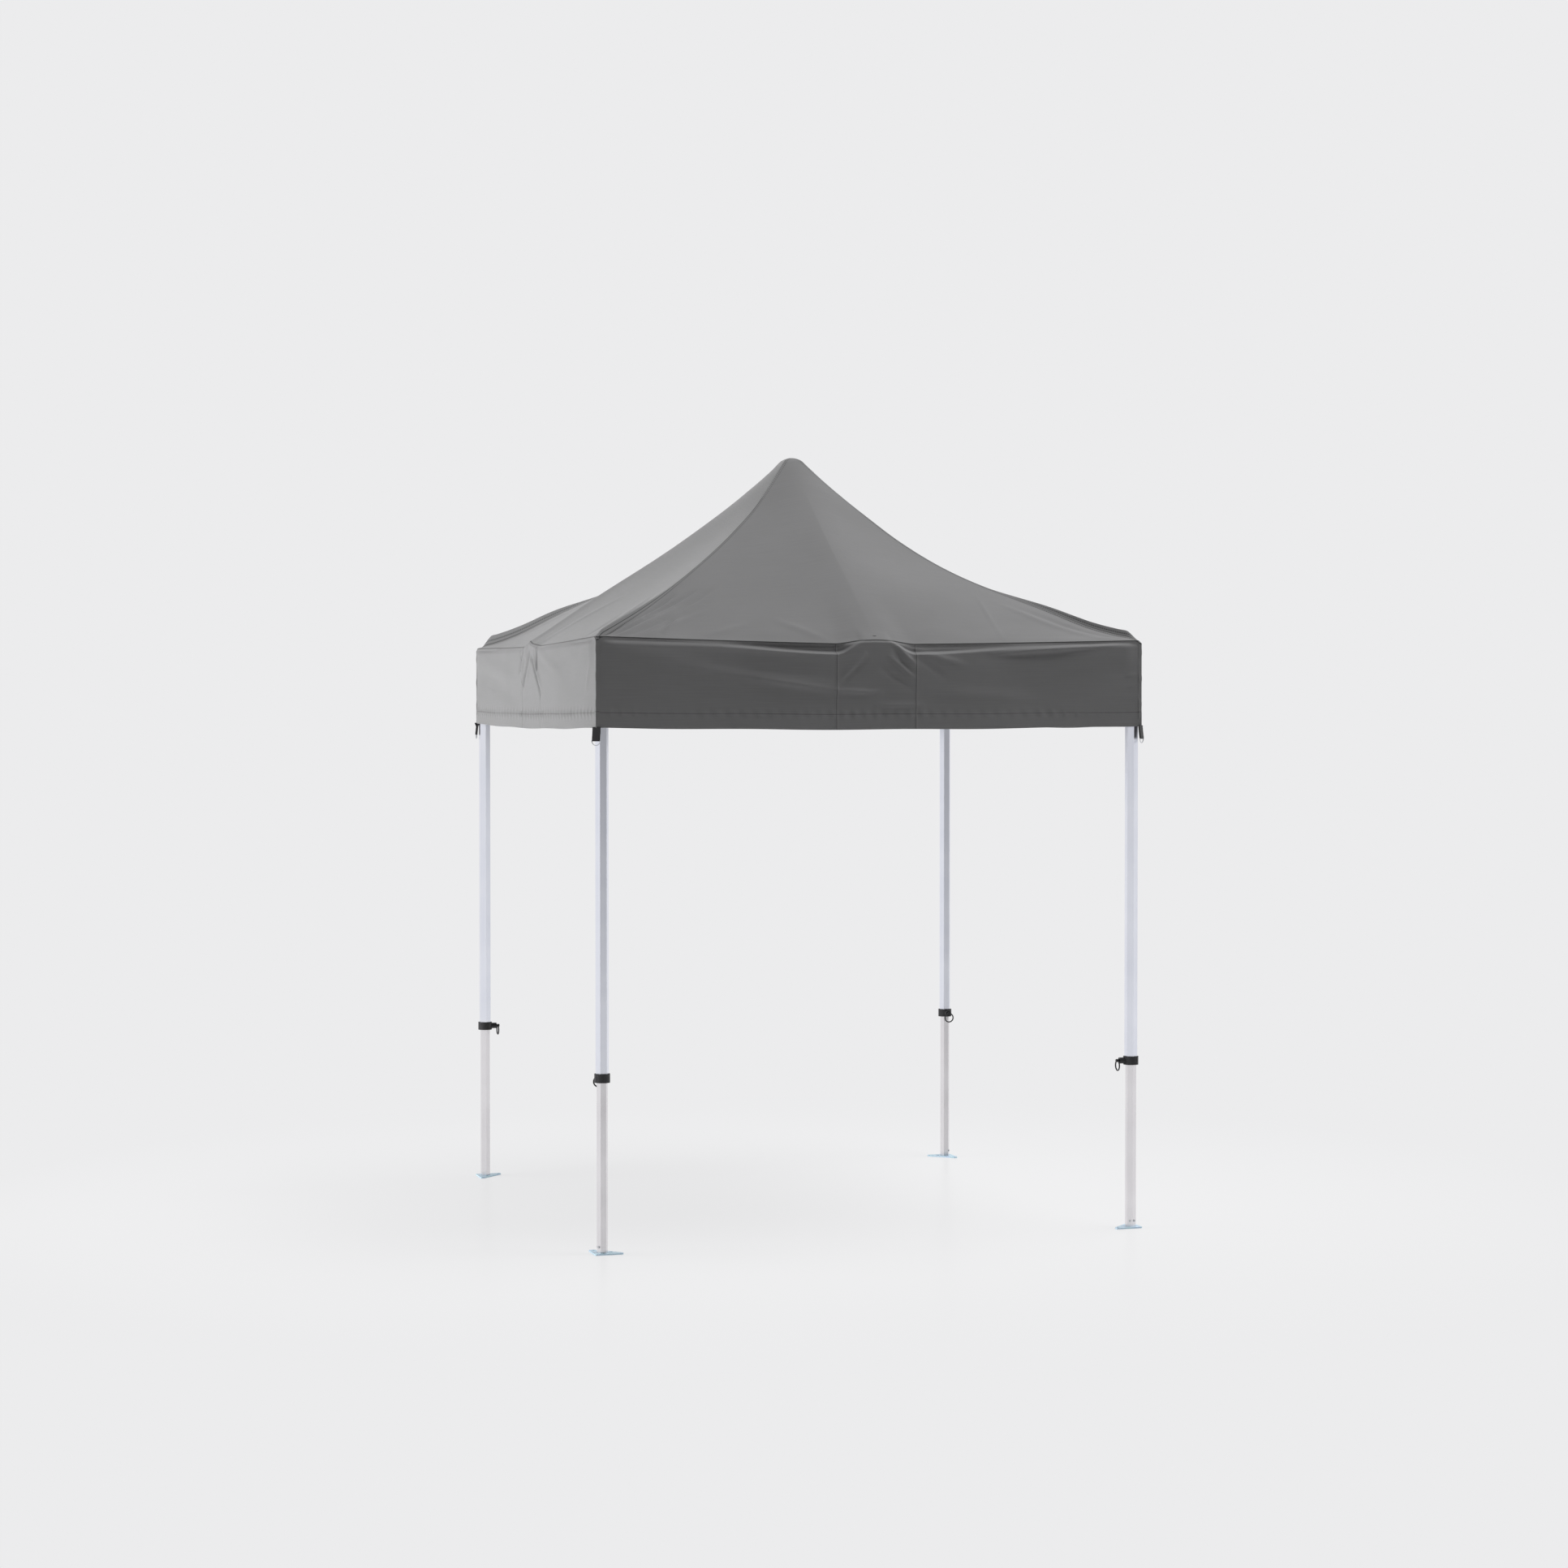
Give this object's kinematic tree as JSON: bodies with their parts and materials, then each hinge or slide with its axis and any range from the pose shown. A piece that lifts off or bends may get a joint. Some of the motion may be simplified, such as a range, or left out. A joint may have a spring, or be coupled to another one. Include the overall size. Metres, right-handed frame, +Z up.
{
  "type": "folding canopy tent",
  "caption": "Square pop-up canopy tent: peaked cloth roof with a hanging valance on a folding scissor frame, telescopic hexagonal legs with pull-pin collars and foot plates.",
  "frame": {"origin": "on the floor under the mast, midway between the four legs", "axes": "+Z up, -Y towards the front side, +X to the right seen from the front"},
  "size_m": [2.012, 2.012, 2.804],
  "materials": {
    "outer_tube": "satin anodised",
    "inner_tube": "satin anodised",
    "bar_aluminium": "mill",
    "black_plastic": "moulded, fine grain",
    "pin_steel": "black oxide",
    "canopy_cloth": "coated woven polyester"
  },
  "bodies": {
    "upper_hub": {"hub_high": "black_plastic"},
    "front_high_arm": {"front_high_arm": "bar_aluminium"},
    "front_low_arm": {"front_low_arm": "bar_aluminium"},
    "front_mid_top": {"front_mid_top": "black_plastic"},
    "front_mid_bottom": {"front_mid_bottom": "black_plastic"},
    "front_canopy": {"front_canopy": "canopy_cloth"},
    "front_left_head_bar": {"front_left_head_bar": "bar_aluminium"},
    "front_left_slider_bar": {"front_left_slider_bar": "bar_aluminium"},
    "front_right_head_bar": {"front_right_head_bar": "bar_aluminium"},
    "front_right_slider_bar": {"front_right_slider_bar": "bar_aluminium"},
    "mast": {"mast": "bar_aluminium", "hub_low": "black_plastic", "mast_cap": "black_plastic"},
    "leg_front_left": {"upper_leg_front_left": "outer_tube", "leg_fittings_front_left": "black_plastic"},
    "slider_front_left": {"slider_front_left": "black_plastic"},
    "leg_front_right": {"upper_leg_front_right": "outer_tube", "leg_fittings_front_right": "black_plastic"},
    "slider_front_right": {"slider_front_right": "black_plastic"},
    "right_high_arm": {"right_high_arm": "bar_aluminium"},
    "right_low_arm": {"right_low_arm": "bar_aluminium"},
    "right_mid_top": {"right_mid_top": "black_plastic"},
    "right_mid_bottom": {"right_mid_bottom": "black_plastic"},
    "right_canopy": {"right_canopy": "canopy_cloth"},
    "right_left_head_bar": {"right_left_head_bar": "bar_aluminium"},
    "right_left_slider_bar": {"right_left_slider_bar": "bar_aluminium"},
    "right_right_head_bar": {"right_right_head_bar": "bar_aluminium"},
    "right_right_slider_bar": {"right_right_slider_bar": "bar_aluminium"},
    "back_high_arm": {"back_high_arm": "bar_aluminium"},
    "back_low_arm": {"back_low_arm": "bar_aluminium"},
    "back_mid_top": {"back_mid_top": "black_plastic"},
    "back_mid_bottom": {"back_mid_bottom": "black_plastic"},
    "back_canopy": {"back_canopy": "canopy_cloth"},
    "back_left_head_bar": {"back_left_head_bar": "bar_aluminium"},
    "back_left_slider_bar": {"back_left_slider_bar": "bar_aluminium"},
    "back_right_head_bar": {"back_right_head_bar": "bar_aluminium"},
    "back_right_slider_bar": {"back_right_slider_bar": "bar_aluminium"},
    "leg_back_right": {"upper_leg_back_right": "outer_tube", "leg_fittings_back_right": "black_plastic"},
    "slider_back_right": {"slider_back_right": "black_plastic"},
    "leg_back_left": {"upper_leg_back_left": "outer_tube", "leg_fittings_back_left": "black_plastic"},
    "slider_back_left": {"slider_back_left": "black_plastic"},
    "left_high_arm": {"left_high_arm": "bar_aluminium"},
    "left_low_arm": {"left_low_arm": "bar_aluminium"},
    "left_mid_top": {"left_mid_top": "black_plastic"},
    "left_mid_bottom": {"left_mid_bottom": "black_plastic"},
    "left_canopy": {"left_canopy": "canopy_cloth"},
    "left_left_head_bar": {"left_left_head_bar": "bar_aluminium"},
    "left_left_slider_bar": {"left_left_slider_bar": "bar_aluminium"},
    "left_right_head_bar": {"left_right_head_bar": "bar_aluminium"},
    "left_right_slider_bar": {"left_right_slider_bar": "bar_aluminium"},
    "lower_leg_front_left": {"lower_leg_front_left": "inner_tube"},
    "pull_pin_front_left": {"pull_pin_front_left": "pin_steel"},
    "lower_leg_front_right": {"lower_leg_front_right": "inner_tube"},
    "pull_pin_front_right": {"pull_pin_front_right": "pin_steel"},
    "lower_leg_back_right": {"lower_leg_back_right": "inner_tube"},
    "pull_pin_back_right": {"pull_pin_back_right": "pin_steel"},
    "lower_leg_back_left": {"lower_leg_back_left": "inner_tube"},
    "pull_pin_back_left": {"pull_pin_back_left": "pin_steel"}
  },
  "joints": [
    {"name": "frame_fold", "type": "hinge", "parent": "upper_hub", "child": "front_high_arm", "pos_m": [0, -0.04, 2.04], "axis": [1, 0, 0], "range_deg": [0, 70], "deforming": ["front_canopy", "right_canopy", "back_canopy", "left_canopy"]},
    {"name": "front_mid_bottom_turn", "type": "hinge", "parent": "front_high_arm", "child": "front_mid_bottom", "pos_m": [0, -0.933, 1.84], "axis": [-1, 0, 0], "range_deg": [0, 70]},
    {"name": "front_arm_cross", "type": "hinge", "parent": "front_high_arm", "child": "front_low_arm", "pos_m": [0, -0.4865, 1.94], "axis": [-1, 0, 0], "range_deg": [0, 140]},
    {"name": "front_mid_top_turn", "type": "hinge", "parent": "front_low_arm", "child": "front_mid_top", "pos_m": [0, -0.933, 2.04], "axis": [1, 0, 0], "range_deg": [0, 70]},
    {"name": "mast_turn", "type": "hinge", "parent": "front_low_arm", "child": "mast", "pos_m": [0, -0.04, 1.84], "axis": [1, 0, 0], "range_deg": [0, 70]},
    {"name": "front_left_head_bar_fold", "type": "hinge", "parent": "front_mid_bottom", "child": "front_left_head_bar", "pos_m": [-0.035, -0.973, 1.84], "axis": [0, 1, 0], "range_deg": [0, 70]},
    {"name": "front_right_head_bar_fold", "type": "hinge", "parent": "front_mid_bottom", "child": "front_right_head_bar", "pos_m": [0.035, -0.973, 1.84], "axis": [0, -1, 0], "range_deg": [0, 70]},
    {"name": "front_left_slider_bar_fold", "type": "hinge", "parent": "front_mid_top", "child": "front_left_slider_bar", "pos_m": [-0.035, -0.973, 2.04], "axis": [0, -1, 0], "range_deg": [0, 70]},
    {"name": "front_right_slider_bar_fold", "type": "hinge", "parent": "front_mid_top", "child": "front_right_slider_bar", "pos_m": [0.035, -0.973, 2.04], "axis": [0, 1, 0], "range_deg": [0, 70]},
    {"name": "leg_turn_front_left", "type": "hinge", "parent": "front_left_head_bar", "child": "leg_front_left", "pos_m": [-0.928, -0.973, 2.04], "axis": [0, -1, 0], "range_deg": [0, 70]},
    {"name": "slider_turn_front_left", "type": "hinge", "parent": "front_left_slider_bar", "child": "slider_front_left", "pos_m": [-0.928, -0.973, 1.84], "axis": [0, 1, 0], "range_deg": [0, 70]},
    {"name": "leg_turn_front_right", "type": "hinge", "parent": "front_right_head_bar", "child": "leg_front_right", "pos_m": [0.928, -0.973, 2.04], "axis": [0, 1, 0], "range_deg": [0, 70]},
    {"name": "slider_turn_front_right", "type": "hinge", "parent": "front_right_slider_bar", "child": "slider_front_right", "pos_m": [0.928, -0.973, 1.84], "axis": [0, -1, 0], "range_deg": [0, 70]},
    {"name": "front_canopy_gather", "type": "hinge", "parent": "front_mid_top", "child": "front_canopy", "pos_m": [0, -1, 2.102], "axis": [-1, 0, 0], "range_deg": [0, 115]},
    {"name": "right_high_arm_fold", "type": "hinge", "parent": "upper_hub", "child": "right_high_arm", "pos_m": [0.04, 0, 2.04], "axis": [0, 1, 0], "range_deg": [0, 70]},
    {"name": "right_mid_bottom_turn", "type": "hinge", "parent": "right_high_arm", "child": "right_mid_bottom", "pos_m": [0.933, 0, 1.84], "axis": [0, -1, 0], "range_deg": [0, 70]},
    {"name": "right_arm_cross", "type": "hinge", "parent": "right_high_arm", "child": "right_low_arm", "pos_m": [0.4865, 0, 1.94], "axis": [0, -1, 0], "range_deg": [0, 140]},
    {"name": "right_mid_top_turn", "type": "hinge", "parent": "right_low_arm", "child": "right_mid_top", "pos_m": [0.933, 0, 2.04], "axis": [0, 1, 0], "range_deg": [0, 70]},
    {"name": "right_left_head_bar_fold", "type": "hinge", "parent": "right_mid_bottom", "child": "right_left_head_bar", "pos_m": [0.973, -0.035, 1.84], "axis": [-1, 0, 0], "range_deg": [0, 70]},
    {"name": "right_right_head_bar_fold", "type": "hinge", "parent": "right_mid_bottom", "child": "right_right_head_bar", "pos_m": [0.973, 0.035, 1.84], "axis": [1, 0, 0], "range_deg": [0, 70]},
    {"name": "right_left_slider_bar_fold", "type": "hinge", "parent": "right_mid_top", "child": "right_left_slider_bar", "pos_m": [0.973, -0.035, 2.04], "axis": [1, 0, 0], "range_deg": [0, 70]},
    {"name": "right_right_slider_bar_fold", "type": "hinge", "parent": "right_mid_top", "child": "right_right_slider_bar", "pos_m": [0.973, 0.035, 2.04], "axis": [-1, 0, 0], "range_deg": [0, 70]},
    {"name": "right_canopy_gather", "type": "hinge", "parent": "right_mid_top", "child": "right_canopy", "pos_m": [1, 0, 2.102], "axis": [0, -1, 0], "range_deg": [0, 115]},
    {"name": "back_high_arm_fold", "type": "hinge", "parent": "upper_hub", "child": "back_high_arm", "pos_m": [0, 0.04, 2.04], "axis": [-1, 0, 0], "range_deg": [0, 70]},
    {"name": "back_mid_bottom_turn", "type": "hinge", "parent": "back_high_arm", "child": "back_mid_bottom", "pos_m": [0, 0.933, 1.84], "axis": [1, 0, 0], "range_deg": [0, 70]},
    {"name": "back_arm_cross", "type": "hinge", "parent": "back_high_arm", "child": "back_low_arm", "pos_m": [0, 0.4865, 1.94], "axis": [1, 0, 0], "range_deg": [0, 140]},
    {"name": "back_mid_top_turn", "type": "hinge", "parent": "back_low_arm", "child": "back_mid_top", "pos_m": [0, 0.933, 2.04], "axis": [-1, 0, 0], "range_deg": [0, 70]},
    {"name": "back_left_head_bar_fold", "type": "hinge", "parent": "back_mid_bottom", "child": "back_left_head_bar", "pos_m": [0.035, 0.973, 1.84], "axis": [0, -1, 0], "range_deg": [0, 70]},
    {"name": "back_right_head_bar_fold", "type": "hinge", "parent": "back_mid_bottom", "child": "back_right_head_bar", "pos_m": [-0.035, 0.973, 1.84], "axis": [0, 1, 0], "range_deg": [0, 70]},
    {"name": "back_left_slider_bar_fold", "type": "hinge", "parent": "back_mid_top", "child": "back_left_slider_bar", "pos_m": [0.035, 0.973, 2.04], "axis": [0, 1, 0], "range_deg": [0, 70]},
    {"name": "back_right_slider_bar_fold", "type": "hinge", "parent": "back_mid_top", "child": "back_right_slider_bar", "pos_m": [-0.035, 0.973, 2.04], "axis": [0, -1, 0], "range_deg": [0, 70]},
    {"name": "leg_turn_back_right", "type": "hinge", "parent": "back_left_head_bar", "child": "leg_back_right", "pos_m": [0.928, 0.973, 2.04], "axis": [0, 1, 0], "range_deg": [0, 70]},
    {"name": "slider_turn_back_right", "type": "hinge", "parent": "back_left_slider_bar", "child": "slider_back_right", "pos_m": [0.928, 0.973, 1.84], "axis": [0, -1, 0], "range_deg": [0, 70]},
    {"name": "leg_turn_back_left", "type": "hinge", "parent": "back_right_head_bar", "child": "leg_back_left", "pos_m": [-0.928, 0.973, 2.04], "axis": [0, -1, 0], "range_deg": [0, 70]},
    {"name": "slider_turn_back_left", "type": "hinge", "parent": "back_right_slider_bar", "child": "slider_back_left", "pos_m": [-0.928, 0.973, 1.84], "axis": [0, 1, 0], "range_deg": [0, 70]},
    {"name": "back_canopy_gather", "type": "hinge", "parent": "back_mid_top", "child": "back_canopy", "pos_m": [0, 1, 2.102], "axis": [1, 0, 0], "range_deg": [0, 115]},
    {"name": "left_high_arm_fold", "type": "hinge", "parent": "upper_hub", "child": "left_high_arm", "pos_m": [-0.04, 0, 2.04], "axis": [0, -1, 0], "range_deg": [0, 70]},
    {"name": "left_mid_bottom_turn", "type": "hinge", "parent": "left_high_arm", "child": "left_mid_bottom", "pos_m": [-0.933, 0, 1.84], "axis": [0, 1, 0], "range_deg": [0, 70]},
    {"name": "left_arm_cross", "type": "hinge", "parent": "left_high_arm", "child": "left_low_arm", "pos_m": [-0.4865, 0, 1.94], "axis": [0, 1, 0], "range_deg": [0, 140]},
    {"name": "left_mid_top_turn", "type": "hinge", "parent": "left_low_arm", "child": "left_mid_top", "pos_m": [-0.933, 0, 2.04], "axis": [0, -1, 0], "range_deg": [0, 70]},
    {"name": "left_left_head_bar_fold", "type": "hinge", "parent": "left_mid_bottom", "child": "left_left_head_bar", "pos_m": [-0.973, 0.035, 1.84], "axis": [1, 0, 0], "range_deg": [0, 70]},
    {"name": "left_right_head_bar_fold", "type": "hinge", "parent": "left_mid_bottom", "child": "left_right_head_bar", "pos_m": [-0.973, -0.035, 1.84], "axis": [-1, 0, 0], "range_deg": [0, 70]},
    {"name": "left_left_slider_bar_fold", "type": "hinge", "parent": "left_mid_top", "child": "left_left_slider_bar", "pos_m": [-0.973, 0.035, 2.04], "axis": [-1, 0, 0], "range_deg": [0, 70]},
    {"name": "left_right_slider_bar_fold", "type": "hinge", "parent": "left_mid_top", "child": "left_right_slider_bar", "pos_m": [-0.973, -0.035, 2.04], "axis": [1, 0, 0], "range_deg": [0, 70]},
    {"name": "left_canopy_gather", "type": "hinge", "parent": "left_mid_top", "child": "left_canopy", "pos_m": [-1, 0, 2.102], "axis": [0, 1, 0], "range_deg": [0, 115]},
    {"name": "leg_slide_front_left", "type": "slide", "parent": "leg_front_left", "child": "lower_leg_front_left", "axis": [0, 0, 1], "range_m": [0, 0.5]},
    {"name": "pin_pull_front_left", "type": "slide", "parent": "leg_front_left", "child": "pull_pin_front_left", "axis": [0, 1, 0], "range_m": [0, 0.01], "stiffness_N_per_m": 800},
    {"name": "leg_slide_front_right", "type": "slide", "parent": "leg_front_right", "child": "lower_leg_front_right", "axis": [0, 0, 1], "range_m": [0, 0.5]},
    {"name": "pin_pull_front_right", "type": "slide", "parent": "leg_front_right", "child": "pull_pin_front_right", "axis": [-1, 0, 0], "range_m": [0, 0.01], "stiffness_N_per_m": 800},
    {"name": "leg_slide_back_right", "type": "slide", "parent": "leg_back_right", "child": "lower_leg_back_right", "axis": [0, 0, 1], "range_m": [0, 0.5]},
    {"name": "pin_pull_back_right", "type": "slide", "parent": "leg_back_right", "child": "pull_pin_back_right", "axis": [0, -1, 0], "range_m": [0, 0.01], "stiffness_N_per_m": 800},
    {"name": "leg_slide_back_left", "type": "slide", "parent": "leg_back_left", "child": "lower_leg_back_left", "axis": [0, 0, 1], "range_m": [0, 0.5]},
    {"name": "pin_pull_back_left", "type": "slide", "parent": "leg_back_left", "child": "pull_pin_back_left", "axis": [1, 0, 0], "range_m": [0, 0.01], "stiffness_N_per_m": 800}
  ],
  "couplings": [
    {"joint": "front_mid_bottom_turn", "follows": "frame_fold", "ratio": 1},
    {"joint": "front_arm_cross", "follows": "frame_fold", "ratio": 2},
    {"joint": "front_mid_top_turn", "follows": "frame_fold", "ratio": 1},
    {"joint": "mast_turn", "follows": "frame_fold", "ratio": 1},
    {"joint": "front_left_head_bar_fold", "follows": "frame_fold", "ratio": 1},
    {"joint": "front_right_head_bar_fold", "follows": "frame_fold", "ratio": 1},
    {"joint": "front_left_slider_bar_fold", "follows": "frame_fold", "ratio": 1},
    {"joint": "front_right_slider_bar_fold", "follows": "frame_fold", "ratio": 1},
    {"joint": "leg_turn_front_left", "follows": "frame_fold", "ratio": 1},
    {"joint": "slider_turn_front_left", "follows": "frame_fold", "ratio": 1},
    {"joint": "leg_turn_front_right", "follows": "frame_fold", "ratio": 1},
    {"joint": "slider_turn_front_right", "follows": "frame_fold", "ratio": 1},
    {"joint": "front_canopy_gather", "follows": "frame_fold", "ratio": 1.6429},
    {"joint": "right_high_arm_fold", "follows": "frame_fold", "ratio": 1},
    {"joint": "right_mid_bottom_turn", "follows": "frame_fold", "ratio": 1},
    {"joint": "right_arm_cross", "follows": "frame_fold", "ratio": 2},
    {"joint": "right_mid_top_turn", "follows": "frame_fold", "ratio": 1},
    {"joint": "right_left_head_bar_fold", "follows": "frame_fold", "ratio": 1},
    {"joint": "right_right_head_bar_fold", "follows": "frame_fold", "ratio": 1},
    {"joint": "right_left_slider_bar_fold", "follows": "frame_fold", "ratio": 1},
    {"joint": "right_right_slider_bar_fold", "follows": "frame_fold", "ratio": 1},
    {"joint": "right_canopy_gather", "follows": "frame_fold", "ratio": 1.6429},
    {"joint": "back_high_arm_fold", "follows": "frame_fold", "ratio": 1},
    {"joint": "back_mid_bottom_turn", "follows": "frame_fold", "ratio": 1},
    {"joint": "back_arm_cross", "follows": "frame_fold", "ratio": 2},
    {"joint": "back_mid_top_turn", "follows": "frame_fold", "ratio": 1},
    {"joint": "back_left_head_bar_fold", "follows": "frame_fold", "ratio": 1},
    {"joint": "back_right_head_bar_fold", "follows": "frame_fold", "ratio": 1},
    {"joint": "back_left_slider_bar_fold", "follows": "frame_fold", "ratio": 1},
    {"joint": "back_right_slider_bar_fold", "follows": "frame_fold", "ratio": 1},
    {"joint": "leg_turn_back_right", "follows": "frame_fold", "ratio": 1},
    {"joint": "slider_turn_back_right", "follows": "frame_fold", "ratio": 1},
    {"joint": "leg_turn_back_left", "follows": "frame_fold", "ratio": 1},
    {"joint": "slider_turn_back_left", "follows": "frame_fold", "ratio": 1},
    {"joint": "back_canopy_gather", "follows": "frame_fold", "ratio": 1.6429},
    {"joint": "left_high_arm_fold", "follows": "frame_fold", "ratio": 1},
    {"joint": "left_mid_bottom_turn", "follows": "frame_fold", "ratio": 1},
    {"joint": "left_arm_cross", "follows": "frame_fold", "ratio": 2},
    {"joint": "left_mid_top_turn", "follows": "frame_fold", "ratio": 1},
    {"joint": "left_left_head_bar_fold", "follows": "frame_fold", "ratio": 1},
    {"joint": "left_right_head_bar_fold", "follows": "frame_fold", "ratio": 1},
    {"joint": "left_left_slider_bar_fold", "follows": "frame_fold", "ratio": 1},
    {"joint": "left_right_slider_bar_fold", "follows": "frame_fold", "ratio": 1},
    {"joint": "left_canopy_gather", "follows": "frame_fold", "ratio": 1.6429}
  ]
}
